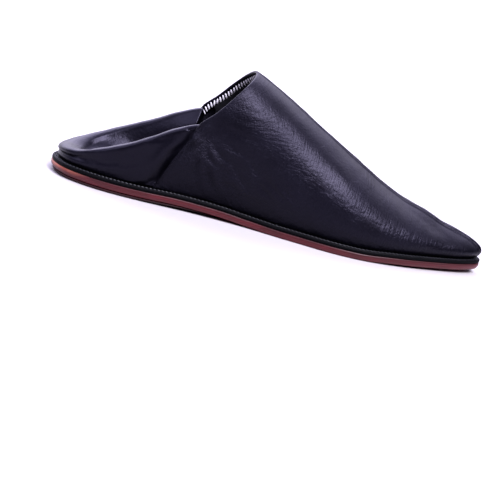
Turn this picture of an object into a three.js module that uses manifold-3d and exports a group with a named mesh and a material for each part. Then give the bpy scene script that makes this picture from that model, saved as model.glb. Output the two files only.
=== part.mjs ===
// Babouche slipper: a backless, pointed leather slipper whose heel quarter is folded down inside.
// Millimetres, +Z up, toe along +X, side to side along Y. The origin is on the ground, under the
// middle of the sole's length. Inside this file x runs from the heel's back (0) to the toe (LENGTH).
import * as THREE from 'three';
import * as BufferGeometryUtils from 'three/addons/utils/BufferGeometryUtils.js';
import Module from 'manifold-3d';

// ---------- driving sizes ----------
const LENGTH = 290;            // sole, heel back to toe tip
const BALL_WIDTH = 92;         // widest place of the sole
const INSTEP_HEIGHT = 93;      // top of the collar above the ground
const COLLAR_X = 115;          // where the collar's top stands
const THROAT = { x: 86, z: 56 };   // corner where the collar meets the folded quarter
const HEEL_HEIGHT = 6.6;       // lift and outsole together, under the heel
const OUTSOLE_THICKNESS = 4.4;
const ARCH_RISE = 2.9;         // the outsole's underside above the ground at the waist
const TOE_SPRING = 2.9;        // the outsole's underside above the ground at the tip
const WELT_THICKNESS = 2.2;
const LEDGE = 4;               // how far the welt stands out past the upper's foot
const WALL = 2;                // leather of the upper, with its lining
const INSOLE_THICKNESS = 4.4;
const GAP = 0.3;               // room between pieces that meet
const LIFT_FRONT = 108;        // where the heel lift is skived away
const LIFT_EDGE = 0.3;         // its thickness there
const TOE_HUB_X = 262;         // the toe's wall lines fan out round this place

// ---------- counts of facets ----------
const OUTLINE_STEPS = 96;
const BODY_STATIONS = 18;
const FAN_STEPS = 18;
const SIDE_ROWS = 8;
const CROWN_ROWS = 10;
const FOLD_STEPS = 18;

// ---------- tables ----------
// Sole outline, one side, as shares of the length and of half the ball width.
const SOLE_OUTLINE = [
  { along: 0.000, half: 0.000 },
  { along: 0.008, half: 0.235 },
  { along: 0.034, half: 0.475 },
  { along: 0.072, half: 0.625 },
  { along: 0.124, half: 0.728 },
  { along: 0.207, half: 0.768 },
  { along: 0.330, half: 0.742 },
  { along: 0.450, half: 0.785 },
  { along: 0.555, half: 0.905 },
  { along: 0.655, half: 1.000 },
  { along: 0.735, half: 0.957 },
  { along: 0.810, half: 0.805 },
  { along: 0.880, half: 0.595 },
  { along: 0.938, half: 0.400 },
  { along: 0.976, half: 0.235 },
  { along: 0.995, half: 0.110 },
  { along: 1.000, half: 0.000 },
];

// Underside of the outsole: rise above its lowest line.
const OUTSOLE_UNDERSIDE = [
  { x: 0, rise: HEEL_HEIGHT - OUTSOLE_THICKNESS },
  { x: 48, rise: HEEL_HEIGHT - OUTSOLE_THICKNESS },
  { x: 86, rise: ARCH_RISE },
  { x: 112, rise: 2.2 },
  { x: 132, rise: 0.8 },
  { x: 154, rise: 0 },
  { x: 204, rise: 0 },
  { x: 225, rise: TOE_SPRING * 0.35 },
  { x: 262, rise: TOE_SPRING * 0.65 },
  { x: LENGTH, rise: TOE_SPRING },
];

// Underside of the heel lift.
const LIFT_UNDERSIDE = [
  { x: 0, rise: 0 },
  { x: 50, rise: 0 },
  { x: 66, rise: 0.5 },
  { x: 84, rise: 1.3 },
  { x: LIFT_FRONT, rise: 1.8 },
];

// The last, in stations along the foot. crown: top of the vamp above the ground. swell: how far the
// wall stands out past its foot at its widest. belly: height of that widest place above the foot.
// roundness: power of the arch over it, where 2 is an ellipse. crest: height of the centre crease.
const LAST = [
  { x: 0, crown: 122, swell: 1.4, belly: 5, roundness: 2.4, crest: 0 },
  { x: 30, crown: 118, swell: 2.0, belly: 13, roundness: 2.4, crest: 0 },
  { x: 62, crown: 111, swell: 3.4, belly: 25, roundness: 2.4, crest: 0 },
  { x: 86, crown: 104, swell: 5.6, belly: 35, roundness: 2.45, crest: 0 },
  { x: COLLAR_X, crown: INSTEP_HEIGHT, swell: 8.2, belly: 38, roundness: 2.45, crest: 0 },
  { x: 138, crown: 82.4, swell: 7.0, belly: 29, roundness: 2.35, crest: 0.2 },
  { x: 163, crown: 69, swell: 5.4, belly: 20, roundness: 2.2, crest: 0.5 },
  { x: 190, crown: 54.8, swell: 3.9, belly: 13, roundness: 2.1, crest: 1.0 },
  { x: 214, crown: 42.8, swell: 3.3, belly: 8.5, roundness: 2.0, crest: 1.5 },
  { x: 239, crown: 33, swell: 2.8, belly: 6, roundness: 1.95, crest: 1.8 },
  { x: TOE_HUB_X, crown: 26.2, swell: 2.8, belly: 5, roundness: 1.9, crest: 1.6 },
  { x: LENGTH, crown: 24, swell: 3.2, belly: 4, roundness: 1.85, crest: 0.8 },
];

// Rear edge of the vamp, seen from the side: the slanting seam, the throat corner and the collar.
const VAMP_EDGE = [
  { z: 8, x: 67 },
  { z: 19, x: 71.4 },
  { z: 27, x: 74.2 },
  { z: 36, x: 78 },
  { z: 46, x: 82.6 },
  { z: THROAT.z, x: THROAT.x },
  { z: 67, x: 95.4 },
  { z: 78, x: 103.6 },
  { z: 86, x: 109.6 },
  { z: INSTEP_HEIGHT, x: COLLAR_X },
];

// The folded quarter, by the place of its foot. ridge: height of the fold. roll: half the distance
// from wall to flap. tuck: how far the wall lies inside the last's surface. crease: depth of the
// dent under the heel's lip. reach and slide: where the flap's edge lies, measured inward from the
// foot and forward along the shoe. drop: height of the flap's edge above the insole.
const FOLD = [
  { x: 4, ridge: 18.6, roll: 6.4, tuck: 0, crease: 2.2, reach: 20, slide: 24, drop: 0.3 },
  { x: 8, ridge: 19.6, roll: 6.0, tuck: 0, crease: 2.0, reach: 19, slide: 25, drop: 0.3 },
  { x: 15, ridge: 21.6, roll: 4.9, tuck: 0.1, crease: 1.5, reach: 15, slide: 26, drop: 0.6 },
  { x: 28, ridge: 26.8, roll: 3.7, tuck: 0.3, crease: 0.6, reach: 11, slide: 26, drop: 2 },
  { x: 42, ridge: 33.4, roll: 3.2, tuck: 0.7, crease: 0.1, reach: 9, slide: 21, drop: 6 },
  { x: 60, ridge: 42.6, roll: 2.7, tuck: 1.3, crease: 0, reach: 8, slide: 12, drop: 15 },
  { x: 74, ridge: 50.8, roll: 2.5, tuck: 1.4, crease: 0, reach: 7.5, slide: 4, drop: 23 },
  { x: 86, ridge: 56.0, roll: 2.4, tuck: 1.5, crease: 0, reach: 7.5, slide: -3, drop: 28 },
  { x: 98, ridge: 58.5, roll: 2.4, tuck: 1.6, crease: 0, reach: 7.5, slide: -6, drop: 31 },
];
const QUARTER_FRONT = 90;      // how far the quarter runs forward under the vamp
const TUCK_HEIGHT = 14;        // the quarter's wall is fully tucked this far above its foot
const QUARTER_LIFT = 0.4;      // the quarter's foot stands this far above the vamp's

// Where the fold's stops lie. shoulder, dent: heights on the wall. The rest are shares of the roll,
// inward from the wall and down from the ridge, as the leather turns over and goes back down.
const FOLD_SHAPE = {
  shoulderDrop: 0.42,
  dentShare: 0.68,
  turn: { in: 0.32, drop: 0.12 },
  back: { in: 1.75, drop: 0.2, slide: 0.04 },
  flap: { in: 2.05, drop: 0.7, slide: 0.12, share: 0.3 },
  hang: { slide: 0.5, share: 0.35 },
};

// Sections of the plates: how far in the edge lies, and how much of its corner is rubbed off.
const OUTSOLE_EDGE = { waist: 0.2, foot: 1.4, bevel: 1.8 };
const LIFT_INSET = { top: 1.5, foot: 2.8 };
const WELT_EDGE = { foot: 0.3, waist: 0.1, top: 0.7, round: 0.6 };
const INSOLE_EDGE = 0.6;

// ---------- reading the tables ----------
// A smooth curve through the rows of a table: the named column against the key column.
function column(table, key, name) {
  const keys = table.map((row) => row[key]);
  const values = table.map((row) => row[name]);
  const last = keys.length - 1;
  const chord = (i) => (values[i + 1] - values[i]) / (keys[i + 1] - keys[i]);
  const slopes = keys.map((_, i) => {
    if (i === 0) return chord(0);
    if (i === last) return chord(last - 1);
    const [before, after] = [chord(i - 1), chord(i)];
    return before * after <= 0 ? 0 : (2 * before * after) / (before + after);
  });
  return (at) => {
    const k = Math.min(Math.max(at, keys[0]), keys[last]);
    let i = 0;
    while (i < last - 1 && k > keys[i + 1]) i += 1;
    const step = keys[i + 1] - keys[i];
    const t = (k - keys[i]) / step;
    const rise = (1 - t) * (1 - t) * ((1 + 2 * t) * values[i] + t * step * slopes[i]);
    return rise + t * t * ((3 - 2 * t) * values[i + 1] - (1 - t) * step * slopes[i + 1]);
  };
}

const outsoleUnderside = column(OUTSOLE_UNDERSIDE, 'x', 'rise');
const liftUnderside = column(LIFT_UNDERSIDE, 'x', 'rise');
const crown = column(LAST, 'x', 'crown');
const swell = column(LAST, 'x', 'swell');
const belly = column(LAST, 'x', 'belly');
const roundness = column(LAST, 'x', 'roundness');
const crest = column(LAST, 'x', 'crest');
const vampEdge = column(VAMP_EDGE, 'z', 'x');

const outsoleTop = (x) => outsoleUnderside(x) + OUTSOLE_THICKNESS;
const weltTop = (x) => outsoleTop(x) + GAP + WELT_THICKNESS;
const footHeight = (x) => weltTop(x) + GAP;
const insoleTop = (x) => outsoleTop(x) + GAP + INSOLE_THICKNESS;

// ---------- the sole's outline ----------
// Points run from the heel's back along the -Y side to the toe and home along +Y, each with its
// inward direction, so point i and point n - i are a pair across the shoe.
function makeOutline() {
  const side = SOLE_OUTLINE.map((row) => {
    return new THREE.Vector3(row.along * LENGTH, -row.half * BALL_WIDTH / 2, 0);
  });
  const back = side.slice(1, -1).reverse().map((p) => new THREE.Vector3(p.x, -p.y, 0));
  const curve = new THREE.CatmullRomCurve3([...side, ...back], true, 'centripetal');
  curve.arcLengthDivisions = 2000;
  const points = [];
  for (let i = 0; i < OUTLINE_STEPS; i += 1) {
    const share = i / OUTLINE_STEPS;
    const tangent = curve.getTangentAt(share);
    points.push({ at: curve.getPointAt(share), inward: new THREE.Vector3(-tangent.y, tangent.x, 0) });
  }
  return points;
}

const OUTLINE = makeOutline();
const inset = (distance) => OUTLINE.map((p) => p.at.clone().addScaledVector(p.inward, distance));

// The same outline at a given height law.
const ring = (distance, height) => inset(distance).map((p) => p.setZ(height(p.x)));

// ---------- closed meshes ----------
function geometryOf(points, triangles) {
  let volume = 0;
  for (const [a, b, c] of triangles) {
    volume += points[a].dot(new THREE.Vector3().crossVectors(points[b], points[c]));
  }
  const faces = volume < 0 ? triangles.map(([a, b, c]) => [a, c, b]) : triangles;
  const geometry = new THREE.BufferGeometry().setFromPoints(points);
  geometry.setIndex(faces.flat());
  return geometry;
}

function quad(triangles, a, b, c, d) {
  for (const face of [[a, b, c], [a, c, d]]) {
    if (new Set(face).size === 3) triangles.push(face);
  }
}

// A plate: rings stacked from top to bottom, closed over and under by strips across the shoe.
function plate(rings) {
  const n = rings[0].length;
  const triangles = [];
  for (let r = 0; r + 1 < rings.length; r += 1) {
    for (let i = 0; i < n; i += 1) {
      const j = (i + 1) % n;
      quad(triangles, r * n + i, r * n + j, (r + 1) * n + j, (r + 1) * n + i);
    }
  }
  const under = (rings.length - 1) * n;
  for (let i = 0; i < Math.floor(n / 2); i += 1) {
    const [a, b, c, d] = [i, i + 1, (n - i - 1) % n, (n - i) % n];
    quad(triangles, d, c, b, a);
    quad(triangles, under + a, under + b, under + c, under + d);
  }
  return geometryOf(rings.flat(), triangles);
}

// A closed strip: rings joined one to the next and the last to the first.
function hoop(rings) {
  const n = rings[0].length;
  const triangles = [];
  rings.forEach((_, r) => {
    const next = (r + 1) % rings.length;
    for (let i = 0; i < n; i += 1) {
      const j = (i + 1) % n;
      quad(triangles, r * n + i, r * n + j, next * n + j, next * n + i);
    }
  });
  return geometryOf(rings.flat(), triangles);
}

// A leather sheet from a grid of points: rows that meet are welded, the sheet gets its thickness
// along its own normals, and every free edge is closed. The first point of each line stands on the
// welt, so its two sides stay at the height of the foot.
function sheet(grid, outward, inward, foot) {
  const places = new Map();
  const points = [];
  const feet = new Set();
  const ids = grid.map((line) => line.map((p, k) => {
    const key = p.toArray().map((value) => Math.round(value * 1000)).join(' ');
    if (!places.has(key)) {
      places.set(key, points.length);
      points.push(p);
    }
    if (k === 0) feet.add(places.get(key));
    return places.get(key);
  }));
  const skin = [];
  for (let j = 0; j + 1 < ids.length; j += 1) {
    for (let k = 0; k + 1 < ids[j].length; k += 1) {
      const [a, b, c, d] = [ids[j][k], ids[j + 1][k], ids[j + 1][k + 1], ids[j][k + 1]];
      const straight = points[a].distanceTo(points[c]) < points[b].distanceTo(points[d]);
      if (straight) quad(skin, a, b, c, d);
      else quad(skin, b, c, d, a);
    }
  }
  const surface = new THREE.BufferGeometry().setFromPoints(points);
  surface.setIndex(skin.flat());
  surface.computeVertexNormals();
  const normals = surface.getAttribute('normal');
  const layer = (distance) => points.map((p, i) => {
    const moved = p.clone().addScaledVector(new THREE.Vector3().fromBufferAttribute(normals, i), distance);
    return feet.has(i) ? moved.setZ(foot(moved.x)) : moved;
  });
  const n = points.length;
  const triangles = [...skin, ...skin.map(([a, b, c]) => [a + n, c + n, b + n])];
  const edges = new Set(skin.flatMap(([a, b, c]) => [`${a} ${b}`, `${b} ${c}`, `${c} ${a}`]));
  for (const edge of edges) {
    const [a, b] = edge.split(' ').map(Number);
    if (!edges.has(`${b} ${a}`)) quad(triangles, b, a, a + n, b + n);
  }
  return geometryOf([...layer(outward), ...layer(-inward)], triangles);
}

// ---------- the upper ----------
// Half width of the upper's foot line where it crosses a station.
function footHalfWidth(x) {
  const line = inset(LEDGE).slice(0, OUTLINE_STEPS / 2 + 1);
  let i = 0;
  while (i < line.length - 2 && line[i + 1].x < x) i += 1;
  const t = (x - line[i].x) / (line[i + 1].x - line[i].x);
  return -THREE.MathUtils.lerp(line[i].y, line[i + 1].y, t);
}

// Foot point of the wall along a ray from the toe hub; angle 0 points at the toe, -90 at -Y.
function toeFoot(angle) {
  const line = inset(LEDGE);
  const hub = new THREE.Vector3(TOE_HUB_X, 0, 0);
  const ray = new THREE.Vector3(Math.cos(angle), Math.sin(angle), 0);
  const side = (p) => ray.x * (p.y - hub.y) - ray.y * (p.x - hub.x);
  for (let i = 0; i < line.length; i += 1) {
    const [a, b] = [line[i], line[(i + 1) % line.length]];
    const ahead = a.clone().sub(hub).dot(ray) > 0;
    if (ahead && side(a) <= 0 && side(b) > 0) return a.clone().lerp(b, side(a) / (side(a) - side(b)));
  }
  return hub;
}

// How far the wall stands out past its foot, at a height above the foot.
function standOut(x, height) {
  const t = Math.min(height / belly(x), 1);
  return swell(x) * (1 - (1 - t) * (1 - t));
}

// One wall line of the last, from foot (share 0) over the belly (share 1/2) to the crown (share 1):
// its distance from the middle, and its height above the ground.
function wallLine(x, footReach, share) {
  const foot = footHeight(x);
  const widest = footReach + swell(x);
  if (share <= 0.5) {
    const height = belly(x) * share * 2;
    return { reach: footReach + standOut(x, height), z: foot + height };
  }
  const angle = (share - 0.5) * Math.PI;
  const power = 2 / roundness(x);
  const reach = widest * Math.pow(Math.max(Math.cos(angle), 0), power);
  const rise = Math.pow(Math.sin(angle), power) * (crown(x) - foot - belly(x) - crest(x));
  const peak = crest(x) * Math.pow(1 - reach / widest, 2);
  return { reach, z: foot + belly(x) + rise + peak };
}

// A point of the vamp behind the toe hub. side is -1 or 1.
function vampPoint(x, share, side) {
  const { reach, z } = wallLine(x, footHalfWidth(x), share);
  return new THREE.Vector3(x, side * reach, z);
}

// Where a wall line of the vamp starts: on the edge of the seam, throat and collar.
function vampStart(share) {
  let x = COLLAR_X;
  for (let step = 0; step < 60; step += 1) {
    x = 0.5 * (x + vampEdge(vampPoint(x, share, -1).z));
  }
  return x;
}

// The share of the wall line that passes through the throat corner.
function throatShare() {
  let [low, high] = [0, 1];
  for (let step = 0; step < 40; step += 1) {
    const middle = (low + high) / 2;
    if (vampPoint(THROAT.x, middle, -1).z < THROAT.z) low = middle;
    else high = middle;
  }
  return low;
}

function vampGeometry() {
  const corner = throatShare();
  const shares = [];
  for (let k = 0; k <= SIDE_ROWS; k += 1) shares.push(corner * k / SIDE_ROWS);
  for (let k = 1; k <= CROWN_ROWS; k += 1) shares.push(corner + (1 - corner) * k / CROWN_ROWS);
  const starts = shares.map(vampStart);
  const bodyLine = (along, side) => shares.map((share, k) => {
    return vampPoint(THREE.MathUtils.lerp(starts[k], TOE_HUB_X, along), share, side);
  });
  const fanLine = (angle) => {
    const foot = toeFoot(angle);
    const footReach = foot.distanceTo(new THREE.Vector3(TOE_HUB_X, 0, 0));
    return shares.map((share) => {
      const forward = Math.pow(Math.cos(angle), 2);
      const x = THREE.MathUtils.lerp(TOE_HUB_X, LENGTH, forward);
      const { reach, z } = wallLine(x, footReach, share);
      const crownDrop = (crown(TOE_HUB_X) - crown(x)) * Math.pow(share, 4);
      const at = new THREE.Vector3(Math.cos(angle), Math.sin(angle), 0).multiplyScalar(reach);
      return at.add(new THREE.Vector3(TOE_HUB_X, 0, share === 1 ? crown(TOE_HUB_X) : z + crownDrop));
    });
  };
  const grid = [];
  for (let j = 0; j < BODY_STATIONS; j += 1) grid.push(bodyLine(j / BODY_STATIONS, -1));
  for (let j = 0; j <= FAN_STEPS; j += 1) grid.push(fanLine(Math.PI * (j / FAN_STEPS - 0.5)));
  for (let j = BODY_STATIONS - 1; j >= 0; j -= 1) grid.push(bodyLine(j / BODY_STATIONS, 1));
  return sheet(grid, 0, WALL, footHeight);
}

// The quarter's middle surface at one place of its foot: up the wall, over the fold, down the flap.
function foldLine(foot, inward) {
  const row = {};
  for (const name of Object.keys(FOLD[0])) row[name] = column(FOLD, 'x', name)(foot.x);
  const { shoulderDrop, dentShare, turn, back, flap, hang } = FOLD_SHAPE;
  const half = WALL / 2;
  const base = footHeight(foot.x) + QUARTER_LIFT;
  const top = row.ridge - half;
  const shoulder = top - row.roll * shoulderDrop;
  const dent = THREE.MathUtils.lerp(base, shoulder, dentShare);
  const tucked = (height) => row.tuck * THREE.MathUtils.smoothstep(height, 0, TUCK_HEIGHT);
  const wallAt = (z, dig) => {
    const height = z - base;
    return { in: half + tucked(height) + dig - standOut(foot.x, height), on: 0, z };
  };
  const rollIn = wallAt(shoulder, 0).in;
  const edgeX = foot.x + inward.x * row.reach + row.slide;
  const edgeZ = insoleTop(edgeX) + half + row.drop;
  const flapTop = Math.max(top - row.roll * flap.drop, THREE.MathUtils.lerp(edgeZ, top, flap.share));
  const stops = [
    wallAt(base, 0),
    wallAt((base + dent) / 2, 0),
    wallAt(dent, row.crease),
    wallAt(shoulder, 0),
    { in: rollIn + row.roll * turn.in, on: 0, z: top - row.roll * turn.drop },
    { in: rollIn + row.roll, on: 0, z: top },
    { in: rollIn + row.roll * back.in, on: row.slide * back.slide, z: top - row.roll * back.drop },
    { in: Math.max(rollIn + row.roll * flap.in, 0), on: row.slide * flap.slide, z: flapTop },
    { in: row.reach, on: row.slide * hang.slide, z: THREE.MathUtils.lerp(edgeZ, flapTop, hang.share) },
    { in: row.reach, on: row.slide, z: edgeZ },
  ];
  const curve = new THREE.CatmullRomCurve3(stops.map((s) => {
    return foot.clone().addScaledVector(inward, s.in).add(new THREE.Vector3(s.on, 0, s.z));
  }), false, 'centripetal');
  return curve.getPoints(FOLD_STEPS);
}

function quarterGeometry() {
  const half = OUTLINE_STEPS / 2;
  const feet = inset(LEDGE);
  const side = [];
  for (let i = 0; i <= half && feet[i].x <= QUARTER_FRONT; i += 1) side.push(i);
  const order = [...side.slice(1).reverse(), ...side.map((i) => (OUTLINE_STEPS - i) % OUTLINE_STEPS)];
  const grid = order.map((i) => foldLine(feet[i], OUTLINE[i].inward));
  return sheet(grid, WALL / 2, WALL / 2, (x) => footHeight(x) + QUARTER_LIFT);
}

const wasm = await Module();
wasm.setup();

function solidOf(geometry) {
  const bare = BufferGeometryUtils.mergeVertices(geometry.deleteAttribute('normal'));
  return new wasm.Manifold(new wasm.Mesh({
    numProp: 3,
    vertProperties: new Float32Array(bare.getAttribute('position').array),
    triVerts: new Uint32Array(bare.getIndex().array),
  }));
}

function geometryFrom(solid) {
  const mesh = solid.getMesh();
  const geometry = new THREE.BufferGeometry();
  geometry.setAttribute('position', new THREE.BufferAttribute(mesh.vertProperties, 3));
  geometry.setIndex(new THREE.BufferAttribute(mesh.triVerts, 1));
  return geometry;
}

// The vamp and the quarter are sewn along the slanting seam, so they are one piece.
function upperGeometry() {
  return geometryFrom(solidOf(vampGeometry()).add(solidOf(quarterGeometry())));
}

// ---------- the sole ----------
function outsoleGeometry() {
  return plate([
    ring(0, outsoleTop),
    ring(OUTSOLE_EDGE.waist, (x) => outsoleUnderside(x) + OUTSOLE_EDGE.bevel),
    ring(OUTSOLE_EDGE.foot, outsoleUnderside),
  ]);
}

function heelLiftGeometry() {
  const clip = (distance, height) => {
    const line = inset(distance);
    const near = line.slice(0, OUTLINE_STEPS / 2).filter((p) => p.x < LIFT_FRONT - 1);
    const front = new THREE.Vector3(LIFT_FRONT, near[near.length - 1].y, 0);
    const rest = [...near.slice(1), front];
    const far = rest.map((p) => new THREE.Vector3(p.x, -p.y, 0)).reverse();
    return [near[0], ...rest, ...far].map((p) => p.setZ(height(p.x)));
  };
  const top = (x) => outsoleUnderside(x) - GAP;
  return plate([
    clip(LIFT_INSET.top, top),
    clip(LIFT_INSET.foot, (x) => Math.min(liftUnderside(x), top(x) - LIFT_EDGE)),
  ]);
}

function weltGeometry() {
  const width = LEDGE + WALL + GAP;
  const under = (x) => outsoleTop(x) + GAP;
  return hoop([
    ring(WELT_EDGE.foot, under),
    ring(WELT_EDGE.waist, (x) => weltTop(x) - WELT_EDGE.round),
    ring(WELT_EDGE.top, weltTop),
    ring(width, weltTop),
    ring(width, under),
  ]);
}

function insoleGeometry() {
  const clearance = LEDGE + WALL + 2 * GAP;
  return plate([
    ring(clearance + INSOLE_EDGE, insoleTop),
    ring(clearance, (x) => insoleTop(x) - INSOLE_EDGE),
    ring(clearance, (x) => outsoleTop(x) + GAP),
  ]);
}

// ---------- assembly ----------
function piece(name, geometry, colour, roughness) {
  const material = new THREE.MeshStandardMaterial({ color: colour, roughness, metalness: 0 });
  const mesh = new THREE.Mesh(geometry, material);
  mesh.name = name;
  return mesh;
}

const slipper = new THREE.Group();
slipper.position.set(-LENGTH / 2, 0, 0);
slipper.add(
  piece('outsole', outsoleGeometry(), 0x7d2a26, 0.55),
  piece('heel_lift', heelLiftGeometry(), 0x6b2320, 0.6),
  piece('welt', weltGeometry(), 0x15151b, 0.5),
  piece('insole', insoleGeometry(), 0x1c1b20, 0.6),
  piece('upper', upperGeometry(), 0x17171f, 0.42),
);

export default slipper;
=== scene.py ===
# %% [markdown]
# # A babouche, made in Blender
#
# A babouche is a backless slipper with a pointed toe. A soft vamp covers the front of the foot. The
# quarter goes round the heel, and here it is folded down inside, so the heel stands open. A flat
# insole, a narrow welt, a red leather outsole and a thin heel lift close it underneath.
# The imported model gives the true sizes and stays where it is. This script lays the finished leather
# over it, in the same place, and works in millimetres from the back of the heel.

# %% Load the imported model
import math
import bpy
import numpy as np
from mathutils import Matrix, Vector


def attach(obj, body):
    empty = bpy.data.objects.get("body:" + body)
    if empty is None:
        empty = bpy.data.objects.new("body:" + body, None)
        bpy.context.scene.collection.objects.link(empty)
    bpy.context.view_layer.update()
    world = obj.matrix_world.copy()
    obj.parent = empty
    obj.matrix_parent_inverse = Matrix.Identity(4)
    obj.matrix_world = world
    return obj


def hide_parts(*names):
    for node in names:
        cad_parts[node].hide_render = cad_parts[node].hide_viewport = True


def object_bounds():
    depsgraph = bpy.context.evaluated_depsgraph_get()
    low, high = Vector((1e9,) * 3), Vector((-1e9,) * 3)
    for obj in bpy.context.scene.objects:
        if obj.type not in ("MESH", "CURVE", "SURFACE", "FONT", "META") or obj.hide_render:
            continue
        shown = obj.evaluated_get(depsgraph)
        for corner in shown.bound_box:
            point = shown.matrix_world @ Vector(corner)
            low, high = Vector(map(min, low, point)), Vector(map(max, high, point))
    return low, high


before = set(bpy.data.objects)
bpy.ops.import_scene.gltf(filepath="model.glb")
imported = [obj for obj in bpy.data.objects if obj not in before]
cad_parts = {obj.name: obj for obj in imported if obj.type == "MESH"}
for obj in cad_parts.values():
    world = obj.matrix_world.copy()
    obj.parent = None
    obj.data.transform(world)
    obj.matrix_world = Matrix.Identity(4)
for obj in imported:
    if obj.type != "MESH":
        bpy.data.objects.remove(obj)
cad_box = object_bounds()
MM = 0.001
LENGTH = (cad_box[1].x - cad_box[0].x) / MM
print("nodes", sorted(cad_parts), "length", round(LENGTH, 2), "mm")


def add_object(name, data):
    made = bpy.data.objects.new(name, data)
    bpy.context.scene.collection.objects.link(made)
    return made


# %% [markdown]
# ## The camera
#
# The slipper is seen from its side, a little from above and behind, with the view rolled so that the
# toe hangs down to the right. A long lens keeps the shape honest. It comes first, so that every
# later step can be judged through it.

# %% Camera
VIEW_DOWN = math.radians(15.18)
VIEW_TURN = math.radians(4.69)
VIEW_ROLL = math.radians(15.14)
VIEW_DISTANCE = 862.3
VIEW_CENTRE = Vector((-4.7, 0.0, -22.7))
LENS = 93.6

ahead = Vector((math.sin(VIEW_TURN) * math.cos(VIEW_DOWN),
                math.cos(VIEW_TURN) * math.cos(VIEW_DOWN), -math.sin(VIEW_DOWN)))
across = Vector((math.cos(VIEW_TURN), -math.sin(VIEW_TURN), 0.0))
above = across.cross(ahead)
side_axis = across * math.cos(VIEW_ROLL) + above * math.sin(VIEW_ROLL)
up_axis = above * math.cos(VIEW_ROLL) - across * math.sin(VIEW_ROLL)

camera = add_object("camera", bpy.data.cameras.new("camera"))
camera.data.lens = LENS
camera.data.clip_end = 100.0
turn = Matrix((side_axis, up_axis, -ahead)).transposed().to_4x4()
camera.matrix_world = Matrix.Translation((VIEW_CENTRE - ahead * VIEW_DISTANCE) * MM) @ turn
bpy.context.scene.camera = camera
print("camera", [round(v, 3) for v in camera.location], "m")


# %% [markdown]
# ## Tables and smooth curves
#
# A shoemaker's last is known by its sections. Each table below has a row for a section and named
# columns, and a smooth curve runs through every column. The curve never swings past its rows, so a
# flat stretch stays flat. Paths that turn over a fold use another curve, which passes through given
# stops and takes corners gently.

# %% Reading the tables
def table(columns, text):
    rows = np.array([line.split() for line in text.strip().splitlines()], float)
    return {name: rows[:, i] for i, name in enumerate(columns.split())}


def column(rows, key, name):
    keys, values = rows[key], rows[name]
    chords = np.diff(values) / np.diff(keys)
    before, after = chords[:-1], chords[1:]
    together = before * after > 0
    inner = np.where(together, 2 * before * after / np.where(together, before + after, 1), 0)
    slopes = np.concatenate([chords[:1], inner, chords[-1:]])

    def read(at):
        k = np.clip(at, keys[0], keys[-1])
        i = np.clip(np.searchsorted(keys, k) - 1, 0, len(keys) - 2)
        step = keys[i + 1] - keys[i]
        t = (k - keys[i]) / step
        start = (1 - t) ** 2 * ((1 + 2 * t) * values[i] + t * step * slopes[i])
        return start + t ** 2 * ((3 - 2 * t) * values[i + 1] - (1 - t) * step * slopes[i + 1])
    return read


def through(stops, steps, closed=False):
    """Points along a centripetal curve through stops (..., n, 3), with a few steps for each gap."""
    first, last = stops[..., :1, :], stops[..., -1:, :]
    if closed:
        full = np.concatenate([last, stops, first, stops[..., 1:2, :]], axis=-2)
    else:
        full = np.concatenate([2 * first - stops[..., 1:2, :], stops,
                               2 * last - stops[..., -2:-1, :]], axis=-2)
    gaps = np.sqrt(np.linalg.norm(np.diff(full, axis=-2), axis=-1, keepdims=True))
    a, b, c, d = (full[..., i:full.shape[-2] - 3 + i, :] for i in range(4))
    g0, g1, g2 = (gaps[..., i:gaps.shape[-2] - 2 + i, :] for i in range(3))
    leave = ((b - a) / g0 - (c - a) / (g0 + g1) + (c - b) / g1) * g1
    arrive = ((c - b) / g1 - (d - b) / (g1 + g2) + (d - c) / g2) * g1
    t = (np.arange(steps) / steps)[:, None]
    b, c, leave, arrive = (v[..., None, :] for v in (b, c, leave, arrive))
    points = (b * (2 * t**3 - 3 * t**2 + 1) + leave * (t**3 - 2 * t**2 + t)
              + c * (3 * t**2 - 2 * t**3) + arrive * (t**3 - t**2))
    points = points.reshape(*stops.shape[:-2], -1, 3)
    return points if closed else np.concatenate([points, last], axis=-2)


def blend(value, low, high):
    t = np.clip((value - low) / (high - low), 0, 1)
    return t * t * (3 - 2 * t)


def bell(distance, width):
    return np.exp(-(distance / width) ** 2)


def unit(vectors):
    return vectors / np.linalg.norm(vectors, axis=-1, keepdims=True)


# %% The last and the sole, in millimetres
BALL_WIDTH = 92.0
OUTSOLE_THICKNESS = 4.4
WELT_THICKNESS = 2.2
INSOLE_THICKNESS = 4.4
GAP = 0.3
LEDGE = 4.0
WALL = 2.0
TOE_HUB = 262.0
THROAT_HEIGHT = 56.0
COLLAR_TOP = 115.0
SEAM_LEAN = 0.9

OUTLINE = table("along half", """
0.000 0.000
0.008 0.235
0.034 0.475
0.072 0.625
0.124 0.728
0.207 0.768
0.330 0.742
0.450 0.785
0.555 0.905
0.655 1.000
0.735 0.957
0.810 0.805
0.880 0.595
0.938 0.400
0.976 0.235
0.995 0.110
1.000 0.000""")

UNDERSIDE = table("x outsole lift", """
0   2.2  0
48  2.2  0
66  2.5  0.5
84  2.88 1.2
112 2.2  1.9
132 0.8  1.9
154 0    1.9
204 0    1.9
225 1.02 1.9
262 1.88 1.9
290 2.9  1.9""")

LAST = table("x crown swell belly roundness crest", """
0   122  1.4 5   2.4  0
30  118  2.0 13  2.4  0
62  111  3.4 25  2.4  0
86  104  5.6 35  2.45 0
115 93   8.2 38  2.45 0
138 82.4 7.0 29  2.35 0.2
163 69   5.4 20  2.2  0.5
190 54.8 3.9 13  2.1  1.0
214 42.8 3.3 8.5 2.0  1.5
239 33   2.8 6   1.95 1.8
262 26.2 2.8 5   1.9  1.6
290 24   3.2 4   1.85 0.8""")

VAMP_EDGE = table("z x", """
8  67
19 71.4
27 74.2
36 78
46 82.6
56 86
67 95.4
78 103.6
86 109.6
93 115""")

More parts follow.
